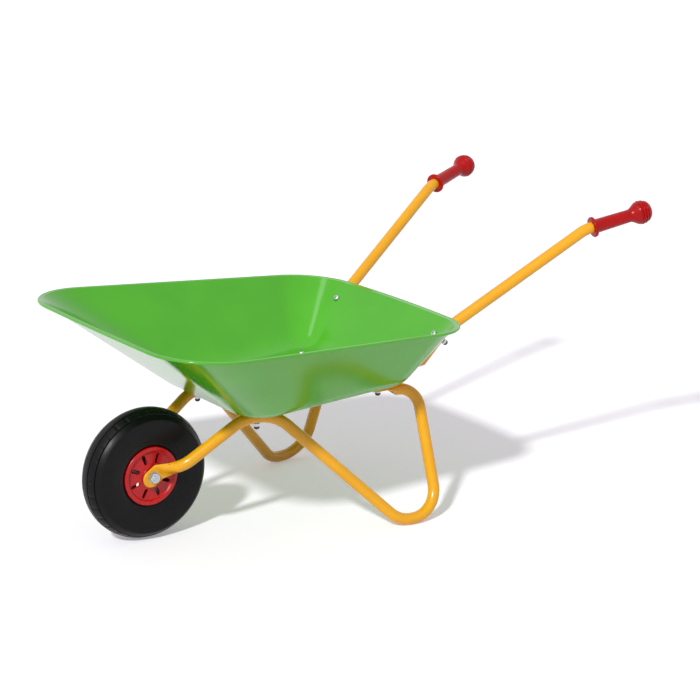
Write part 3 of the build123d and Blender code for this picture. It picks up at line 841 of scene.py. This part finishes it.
    def cut_ribs(self, made: bpy.types.Object) -> None:
        """Cuts the rib on each side of the middle one across.

        Args:
            made: The turned tyre.
        """
        centre = axle_centre()
        outer_edge = (self.groove_count - 1) / 2 * self.groove_pitch
        inner_edge = outer_edge - self.groove_pitch
        make_active(made)
        bpy.ops.object.mode_set(mode="EDIT")
        bpy.ops.mesh.select_mode(type="FACE")
        bpy.ops.mesh.select_all(action="DESELECT")
        bpy.ops.object.mode_set(mode="OBJECT")
        for face in made.data.polygons:
            spot = (face.center - centre) / MM
            out = math.hypot(spot.x, spot.z)
            step = math.floor((math.atan2(spot.z, spot.x) / FULL_TURN) % 1 * self.steps)
            side = abs(spot.y)
            on_rib = inner_edge + self.cut_clear < side < outer_edge - self.cut_clear
            outside = out > self.crown(min(side, self.shoulder_half)) - self.groove_depth / 3
            face.select = on_rib and outside and step % self.cut_every == 0
        bpy.ops.object.mode_set(mode="EDIT")
        bpy.ops.mesh.inset(
            thickness=self.cut_edge * MM, depth=-self.cut_depth * MM, use_even_offset=False
        )
        bpy.ops.object.mode_set(mode="OBJECT")


@dataclass
class RimHalf(Piece):
    """One half of the rim: barrel, flange, dished web with vents, and hub.

    Attributes:
        side: The side that it faces.
        half_width: From the wheel's middle to the flange's face.
        radius: Over the flange.
        barrel: Radius of the barrel.
        barrel_wall: Its thickness.
        flange: Thickness of the flange.
        ring: Width of the flat ring inside the edge.
        edge: Radius of the rounded edges of the ring.
        flange_edge: Radius of the flange's inner edge.
        recess: How far the web lies below the ring at its edge.
        crown: How much of that the web rises to the hub.
        web: Thickness of the web.
        web_edge: Radius of the fillet round the web.
        hub_face: From the wheel's middle to the hub's face.
        hub_radius: Radius of the hub.
        hub_edge: Radius of the hub's rounded edge.
        hub_foot: Radius of the fillet at the hub's foot.
        bore: Radius of the hole for the bush.
        bore_edge: Radius of its rounded edge.
        split: Half of the gap between the two halves.
        vents: How many vents there are.
        vent_start: Where the vents start, from the axle.
        vent_end: Where they end.
        vent_width: Their width.
        vent_steps: Faces round a vent's two ends together.
        turned: The first vent's turn from straight ahead, as a share of the pitch.
        steps: Faces round the turn.
        broken: Most that the vents' edges are broken by. The bevel clamps it to far less.
        broken_parts: Faces across one.
        broken_over: Angle in degrees over which an edge is broken.
        sharp: Angle in degrees over which an edge stays sharp.
    """

    side: Side = Side.LEFT
    half_width: float = 21.0
    radius: float = 40.5
    barrel: float = 36.0
    barrel_wall: float = 2.6
    flange: float = 3.2
    ring: float = 5.5
    edge: float = 1.4
    flange_edge: float = 0.5
    recess: float = 3.0
    crown: float = 2.0
    web: float = 3.0
    web_edge: float = 2.0
    hub_face: float = 21.2
    hub_radius: float = 13.5
    hub_edge: float = 0.7
    hub_foot: float = 0.4
    bore: float = 6.1
    bore_edge: float = 0.4
    split: float = 0.05
    vents: int = 8
    vent_start: float = 18.0
    vent_end: float = 32.0
    vent_width: float = 5.2
    vent_steps: int = 24
    turned: float = 0.5
    steps: int = 128
    broken: float = 0.35
    broken_parts: int = 2
    broken_over: float = 60.0
    sharp: float = 35.0

    def profile(self) -> Profile:
        """The half's section.

        Returns:
            Its points, from the middle out along the hub, the web, the ring and back inside.
        """
        web_low = self.half_width - self.recess
        web_high = web_low + self.crown
        ring_inner = self.radius - self.ring
        flange_back = self.half_width - self.flange
        barrel_inner = self.barrel - self.barrel_wall
        corners = [
            (self.split, self.bore, 0),
            (self.hub_face, self.bore, self.bore_edge),
            (self.hub_face, self.hub_radius, self.hub_edge),
            (web_high, self.hub_radius, self.hub_foot),
            (web_low, ring_inner - self.barrel_wall, self.web_edge),
            (self.half_width, ring_inner, self.edge),
            (self.half_width, self.radius, self.edge),
            (flange_back, self.radius, self.flange_edge),
            (flange_back, self.barrel, 0),
            (self.split, self.barrel, 0),
            (self.split, barrel_inner, 0),
            (web_low - self.web, barrel_inner, 0),
            (web_high - self.web, self.hub_radius, 0),
            (self.split, self.hub_radius, 0),
            (self.split, self.bore, 0),
        ]
        return rounded(corners)

    def cutter(self) -> bpy.types.Object:
        """Makes the vents' shapes as one object: a round rod drawn out along its spoke, repeated.

        Returns:
            The cutter.
        """
        centre = axle_centre()
        half = self.vent_width / 2
        angle = FULL_TURN * self.turned / self.vents
        spoke = Vector((math.cos(angle), 0, math.sin(angle)))
        sideways = ACROSS * self.side.value * self.half_width
        start = centre + (spoke * (self.vent_start + half) + sideways) * MM
        deselect()
        bpy.ops.mesh.primitive_cylinder_add(
            vertices=self.vent_steps,
            radius=half * MM,
            depth=self.half_width * MM,
            location=start,
            rotation=(QUARTER_TURN, 0, 0),
        )
        made = bpy.context.object
        bpy.ops.object.transform_apply(location=True, rotation=True)
        bpy.ops.object.mode_set(mode="EDIT")
        bpy.ops.mesh.select_mode(type="VERT")
        bpy.ops.mesh.select_all(action="DESELECT")
        bpy.ops.object.mode_set(mode="OBJECT")
        for corner in made.data.vertices:
            corner.select = (corner.co - start).dot(spoke) > -WELD
        bpy.ops.object.mode_set(mode="EDIT")
        reach = spoke * (self.vent_end - self.vent_start - self.vent_width) * MM
        bpy.ops.transform.translate(value=reach)
        bpy.ops.mesh.select_all(action="SELECT")
        bpy.ops.mesh.spin(
            steps=self.vents, angle=FULL_TURN, dupli=True, center=centre, axis=ACROSS
        )
        bpy.ops.mesh.select_all(action="SELECT")
        bpy.ops.mesh.remove_doubles(threshold=WELD)
        bpy.ops.mesh.normals_make_consistent(inside=False)
        bpy.ops.object.mode_set(mode="OBJECT")
        return made

    def build(self) -> None:
        """Turns the half, cuts its vents, breaks their edges and dresses it."""
        name = f"{self.side.word}_rim"
        axis = ACROSS * self.side.value
        made = lathe(name, axle_centre(), axis, self.profile(), self.steps, self.sharp)
        cutter = self.cutter()
        apply_modifier(
            made, "BOOLEAN", {"operation": "DIFFERENCE", "object": cutter, "solver": "EXACT"}
        )
        bpy.data.objects.remove(cutter)
        broken = {
            "width": self.broken * MM,
            "segments": self.broken_parts,
            "limit_method": "ANGLE",
            "angle_limit": math.radians(self.broken_over),
        }
        apply_modifier(made, "BEVEL", broken)
        settle(made, self.sharp)
        self.dress(made)


@dataclass
class Grip(Piece):
    """A moulded grip: flange, tapered neck, flare and a domed knob with rings.

    Attributes:
        side: The side of the barrow.
        hold: How far from the flange's face the hand's place lies, which the record gives.
        bore: Radius of the hole for the tube.
        bore_depth: Its depth.
        flange_radius: Radius of the flange.
        flange: Its thickness.
        edge: Radius of its rounded edges.
        neck: Radius of the neck at the flange.
        neck_edge: Radius of the fillet there.
        waist: Radius where the flare starts.
        waist_at: Where that is, from the flange's face.
        knob: Radius of the knob.
        knob_at: Where the knob is widest.
        length: The whole length.
        tip: Radius of the flat tip.
        flare_parts: Runs along the flare.
        dome_parts: Runs from the knob's widest place to the tip.
        first_ring: From the tip to the first ring's groove.
        ring_pitch: From groove to groove.
        ring_count: How many there are.
        ring_radius: Half of their width.
        ring_depth: Their depth.
        steps: Faces round the turn.
        sharp: Angle in degrees over which an edge stays sharp.
    """

    side: Side = Side.LEFT
    hold: float = 40.0
    bore: float = 8.1
    bore_depth: float = 66.1
    flange_radius: float = 14.5
    flange: float = 4.5
    edge: float = 1.5
    neck: float = 9.9
    neck_edge: float = 0.8
    waist: float = 9.1
    waist_at: float = 58.0
    knob: float = 16.93
    knob_at: float = 75.5
    length: float = 91.46
    tip: float = 6.0
    flare_parts: int = 40
    dome_parts: int = 72
    first_ring: float = 8.2
    ring_pitch: float = 4.9
    ring_count: int = 3
    ring_radius: float = 1.5
    ring_depth: float = 2.0
    steps: int = 64
    sharp: float = 50.0

    def dome(self, along: float) -> float:
        """The knob's radius beyond its widest place, that far from the flange's face."""
        share = (along - self.knob_at) / (self.length - self.knob_at)
        return self.tip + (self.knob - self.tip) * math.sqrt(max(0.0, 1 - share**2))

    def flare(self) -> Profile:
        """The way from the waist to the knob's widest place.

        Returns:
            Its points, without the first.
        """
        points: Profile = []
        for part in range(1, self.flare_parts + 1):
            share = part / self.flare_parts
            # Starts and ends level
            ease = share * share * (3 - 2 * share)
            along = self.waist_at + (self.knob_at - self.waist_at) * share
            points.append((along, self.waist + (self.knob - self.waist) * ease))
        return points

    def knob_side(self) -> Profile:
        """The knob from its widest place to the tip.

        Returns:
            Its points, without the first.
        """
        points: Profile = []
        parts = self.dome_parts
        for part in range(1, parts + 1):
            reach = math.sin(QUARTER_TURN * part / parts)
            along = self.knob_at + (self.length - self.knob_at) * reach
            points.append((along, self.dome(along)))
        return points

    def ringed(self, points: Profile) -> Profile:
        """Cuts the rings' round grooves into the knob.

        Args:
            points: The flare and the knob.

        Returns:
            The same points, those in a groove moved in.
        """
        first = self.length - self.first_ring
        grooves = [first - index * self.ring_pitch for index in range(self.ring_count)]
        cut: Profile = []
        for along, out in points:
            nearest = min(abs(along - groove) for groove in grooves)
            share = max(0.0, 1 - (nearest / self.ring_radius) ** 2)
            cut.append((along, out - self.ring_depth * share))
        return cut

    def build(self) -> None:
        """Turns the grip about its tube's axis and dresses it."""
        holds = {mount["name"]: mount for mount in frame["record"]["mounts"]}
        mount = holds[f"{self.side.word}_grip_hold"]
        axis = Vector(mount["axis"])
        seat = Vector(mount["pos_m"]) - axis * (self.hold * MM)
        flange = rounded(
            [
                (0.0, self.bore, 0),
                (0.0, self.flange_radius, self.edge),
                (self.flange, self.flange_radius, self.edge),
                (self.flange, self.neck, self.neck_edge),
                (self.waist_at, self.waist, 0),
            ]
        )
        inside = [
            (self.length, 0.0),
            (self.bore_depth, 0.0),
            (self.bore_depth, self.bore),
            (0.0, self.bore),
        ]
        profile = flange + self.ringed(self.flare() + self.knob_side()) + inside
        name = f"{self.side.word}_grip_moulding"
        self.dress(lathe(name, seat, axis, profile, self.steps, self.sharp))


@dataclass
class AxleHexagon(Piece):
    """The axle's nut, or its bolt with a hexagon head: a hexagon bar turned down at its faces.

    Attributes:
        flats: Width across the flats.
        height: Height of the nut or head.
        hole: Radius of the nut's hole, or 0 for the bolt.
        shank: Radius of the bolt's shank, or 0 for the nut.
        shank_edge: Radius of the rounding at its end.
        outward: The direction along Y in which the outer face looks.
        face_share: Radius of the outer face as a share of half of the flats.
        lean: How far its turned edge leans, in degrees.
        spare: How far the turning blank reaches past the corners.
        steps: Faces round the blank.
        shank_steps: Faces round the shank.
        sharp: Angle in degrees over which an edge stays sharp.
    """

    flats: float = 13.0
    height: float = 4.0
    hole: float = 4.1
    shank: float = 0.0
    shank_edge: float = 0.6
    outward: Side = Side.LEFT
    face_share: float = 0.95
    lean: float = 30.0
    spare: float = 1.0
    steps: int = 96
    shank_steps: int = 48
    sharp: float = 25.0

    def build(self) -> None:
        """Makes the bar, turns its faces down, adds the shank and dresses the piece."""
        low, high = (Vector(corner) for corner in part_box(self.node))
        outer_face = high.y if self.outward is Side.LEFT else low.y
        towards = ACROSS * self.outward.value
        base = axle_centre()
        base.y = outer_face - self.outward.value * self.height * MM
        corner = self.flats / 2 / math.cos(HALF_FLAT)
        deselect()
        bpy.ops.mesh.primitive_cylinder_add(
            vertices=FLATS,
            radius=corner * MM,
            depth=self.height * MM,
            location=base + towards * (self.height / 2 * MM),
            rotation=(QUARTER_TURN, 0, 0),
        )
        made = bpy.context.object
        made.name = f"{self.node}_plated"
        bpy.ops.object.transform_apply(location=True, rotation=True)
        bpy.ops.object.mode_set(mode="EDIT")
        bpy.ops.mesh.select_all(action="SELECT")
        bpy.ops.transform.rotate(value=HALF_FLAT, orient_axis="Y", center_override=base)
        bpy.ops.object.mode_set(mode="OBJECT")
        face = self.flats / 2 * self.face_share
        edge = corner + self.spare
        drop = (edge - face) * math.tan(math.radians(self.lean))
        blank = [
            (0.0, self.hole),
            (0.0, edge),
            (self.height - drop, edge),
            (self.height, face),
            (self.height, self.hole),
            (0.0, self.hole),
        ]
        turned = lathe("blank", base, towards, blank, self.steps)
        apply_modifier(
            made, "BOOLEAN", {"operation": "INTERSECT", "object": turned, "solver": "EXACT"}
        )
        bpy.data.objects.remove(turned)
        if self.shank:
            self.add_shank(made, base, towards, low, high)
        settle(made, self.sharp)
        self.dress(made)

    def add_shank(
        self, made: bpy.types.Object, base: Vector, towards: Vector, low: Vector, high: Vector
    ) -> None:
        """Turns the shank with its rounded end and joins it to the head.

        Args:
            made: The head.
            base: The head's inner face on the axis.
            towards: The direction in which the head looks.
            low: The node's lowest corner.
            high: The node's highest corner.
        """
        reach = (high.y - low.y) / MM - self.height
        corners = [
            (0.0, 0.0, 0),
            (0.0, self.shank, 0),
            (reach, self.shank, self.shank_edge),
            (reach, 0.0, 0),
            (0.0, 0.0, 0),
        ]
        rod = lathe("rod", base, -towards, rounded(corners), self.shank_steps)
        make_active(made)
        rod.select_set(True)
        bpy.ops.object.join()


@dataclass
class Barrow:
    """Everything that doesn't turn."""

    def build(self) -> None:
        """Builds the tray, the frames, the handles, the grips and the fasteners."""
        Skin("tray", Body.BARROW, GREEN_COAT, Slot.TRAY).build()
        for side in Side:
            Skin(f"{side.word}_frame_tube", Body.BARROW, YELLOW_COAT, Slot.FRAME).build()
            Skin(f"{side.word}_handle_tube", Body.BARROW, YELLOW_COAT, Slot.FRAME).build()
            Grip(f"{side.word}_grip", Body.BARROW, GRIP_PLASTIC, Slot.GRIP, side=side).build()
        AxleHexagon("axle_nut", Body.BARROW, ZINC_PLATE, Slot.ZINC).build()
        AxleHexagon(
            "axle_bolt",
            Body.BARROW,
            ZINC_PLATE,
            Slot.ZINC,
            height=5.3,
            hole=0.0,
            shank=4.0,
            outward=Side.RIGHT,
        ).build()
        for node in ("axle_washers", "axle_spacers"):
            Skin(node, Body.BARROW, ZINC_PLATE, Slot.ZINC).build()
        for place in ("front_tray", "rear_tray", "handle"):
            Skin(f"{place}_bolts", Body.BARROW, ZINC_PLATE, Slot.ZINC).build()
            Skin(f"{place}_nuts", Body.BARROW, ZINC_PLATE, Slot.ZINC).build()
        for place in ("front", "rear", "handle"):
            Skin(f"{place}_nut_caps", Body.BARROW, CAP_PLASTIC, Slot.CAP).build()


@dataclass
class Wheel:
    """Tyre, rim halves and bush, which turn together."""

    def build(self) -> None:
        """Builds the turning pieces."""
        Tyre("tyre", Body.WHEEL, TYRE_RUBBER, Slot.TYRE).build()
        RimHalf("left_rim_half", Body.WHEEL, RIM_PLASTIC, Slot.RIM).build()
        RimHalf(
            "right_rim_half", Body.WHEEL, RIM_PLASTIC, Slot.RIM, side=Side.RIGHT, turned=0.0
        ).build()
        Skin("hub_bush", Body.WHEEL, ZINC_PLATE, Slot.ZINC).build()


@dataclass
class Studio:
    """A pale floor, a soft key light, a small lamp for gloss, an even fill and the camera.

    Attributes:
        eye: The camera's place from the ground under the axle, in metres.
        right: The camera's right.
        up: The camera's up.
        sensor: Width of the camera's sensor, in millimetres.
        lens: Focal length over the sensor's width.
        far: How far the camera sees.
        key: The direction in which the key light shines.
        key_strength: Its strength in watts per square metre.
        key_spread: How wide it looks from the barrow, in degrees.
        fill: Strength of the even light from all round.
        floor_size: Length and width of the floor.
        floor_tone: Reflectance of the floor, set against the green that the tray throws on it.
        floor_roughness: Its roughness, as of paper.
        floor_specular: Level of the reflection at its surface.
        floor_glow: What the floor adds for the camera and in gloss, so that it is white there.
        sheen_at: Where the small lamp hangs that draws the streaks of gloss.
        sheen_to: What it points at, in the tray's far rear corner.
        sheen_size: Its diameter.
        sheen_power: Its power in watts.
    """

    eye: Triple = (1.38904, 2.39379, 1.04167)
    right: Triple = (-0.813713, 0.581072, 0.015042)
    up: Triple = (-0.146158, -0.229584, 0.962252)
    sensor: float = 36.0
    lens: float = 3.11322
    far: float = 100.0
    key: Triple = (-1.03, -0.63, -1.0)
    key_strength: float = 2.75
    key_spread: float = 4.5
    fill: float = 0.42
    floor_size: float = 60.0
    floor_tone: Triple = (0.86, 0.83, 0.89)
    floor_roughness: float = 0.9
    floor_specular: float = 0.1
    floor_glow: float = 0.26
    sheen_at: Triple = (1.54, -0.36, 2.77)
    sheen_to: Triple = (-0.072, -0.141, 0.244)
    sheen_size: float = 0.5
    sheen_power: float = 2.0

    def build(self) -> None:
        """Sets up the whole studio."""
        self.camera()
        self.floor()
        self.world()
        self.key_light()
        self.sheen_light()

    def camera(self) -> None:
        """Places the camera."""
        data = bpy.data.cameras.new("camera")
        data.sensor_width = self.sensor
        data.lens = self.sensor * self.lens
        data.clip_end = self.far
        camera = bpy.data.objects.new("camera", data)
        right, up = Vector(self.right), Vector(self.up)
        turn = Matrix((right, up, right.cross(up))).transposed().to_4x4()
        place = Vector(self.eye) + Vector((axle_centre().x, 0, 0))
        camera.matrix_world = Matrix.Translation(place) @ turn
        bpy.context.scene.collection.objects.link(camera)
        bpy.context.scene.camera = camera

    def seen(self, tree: bpy.types.NodeTree) -> bpy.types.NodeSocket:
        """Tells the camera's, gloss and glass rays from those that light things.

        Args:
            tree: The node tree.

        Returns:
            1 for the camera and in reflections and glass, else 0.
        """
        rays = add_node(tree, "ShaderNodeLightPath").outputs
        gloss = add_node(
            tree,
            "ShaderNodeMath",
            {"operation": "MAXIMUM"},
            {0: rays["Is Glossy Ray"], 1: rays["Is Transmission Ray"]},
        )
        both = add_node(
            tree,
            "ShaderNodeMath",
            {"operation": "MAXIMUM"},
            {0: rays["Is Camera Ray"], 1: gloss.outputs["Value"]},
        )
        return both.outputs["Value"]

    def floor(self) -> None:
        """Lays the floor, which looks white where the light reaches it and keeps the shadow."""
        deselect()
        bpy.ops.mesh.primitive_plane_add(size=self.floor_size, location=(0, 0, 0))
        floor = bpy.context.object
        floor.name = "floor"
        made = bpy.data.materials.new("white_paper_floor")
        made.use_nodes = True
        tree = made.node_tree
        shader = tree.nodes["Principled BSDF"]
        shader.inputs["Base Color"].default_value = (*self.floor_tone, 1)
        shader.inputs["Roughness"].default_value = self.floor_roughness
        shader.inputs["Specular IOR Level"].default_value = self.floor_specular
        shader.inputs["Emission Color"].default_value = (1, 1, 1, 1)
        glow = add_node(
            tree,
            "ShaderNodeMath",
            {"operation": "MULTIPLY", 1: self.floor_glow},
            {0: self.seen(tree)},
        )
        tree.links.new(glow.outputs["Value"], shader.inputs["Emission Strength"])
        floor.data.materials.append(made)

    def world(self) -> None:
        """Surrounds the scene with an even pale light, white to the camera and in gloss."""
        world = bpy.data.worlds.new("studio")
        bpy.context.scene.world = world
        world.use_nodes = True
        tree = world.node_tree
        tree.nodes.clear()
        level = add_node(
            tree,
            "ShaderNodeMapRange",
            {"From Min": 0.0, "From Max": 1.0, "To Min": self.fill, "To Max": 1.0},
            {"Value": self.seen(tree)},
        )
        sky = add_node(
            tree,
            "ShaderNodeBackground",
            {"Color": (1, 1, 1, 1)},
            {"Strength": level.outputs["Result"]},
        )
        add_node(tree, "ShaderNodeOutputWorld", {}, {"Surface": sky.outputs["Background"]})

    def key_light(self) -> None:
        """Adds the key light, which comes from ahead, the left and above."""
        data = bpy.data.lights.new("key", "SUN")
        data.energy = self.key_strength
        data.angle = math.radians(self.key_spread)
        lamp = bpy.data.objects.new("key", data)
        lamp.rotation_euler = Vector(self.key).to_track_quat("-Z", "Y").to_euler()
        bpy.context.scene.collection.objects.link(lamp)

    def sheen_light(self) -> None:
        """Adds a small round lamp overhead that shows in gloss alone."""
        data = bpy.data.lights.new("sheen", "AREA")
        data.shape = "DISK"
        data.size = self.sheen_size
        data.energy = self.sheen_power
        lamp = bpy.data.objects.new("sheen", data)
        lamp.location = self.sheen_at
        aim = Vector(self.sheen_to) - Vector(self.sheen_at)
        lamp.rotation_euler = aim.to_track_quat("-Z", "Y").to_euler()
        lamp.visible_diffuse = False
        lamp.visible_camera = False
        bpy.context.scene.collection.objects.link(lamp)


def main() -> None:
    """Builds the studio and the wheelbarrow."""
    logging.basicConfig(level=logging.INFO, format="%(message)s")
    bpy.context.scene.view_settings.view_transform = "Standard"
    Studio().build()
    Barrow().build()
    Wheel().build()


if __name__ == "__main__":
    main()
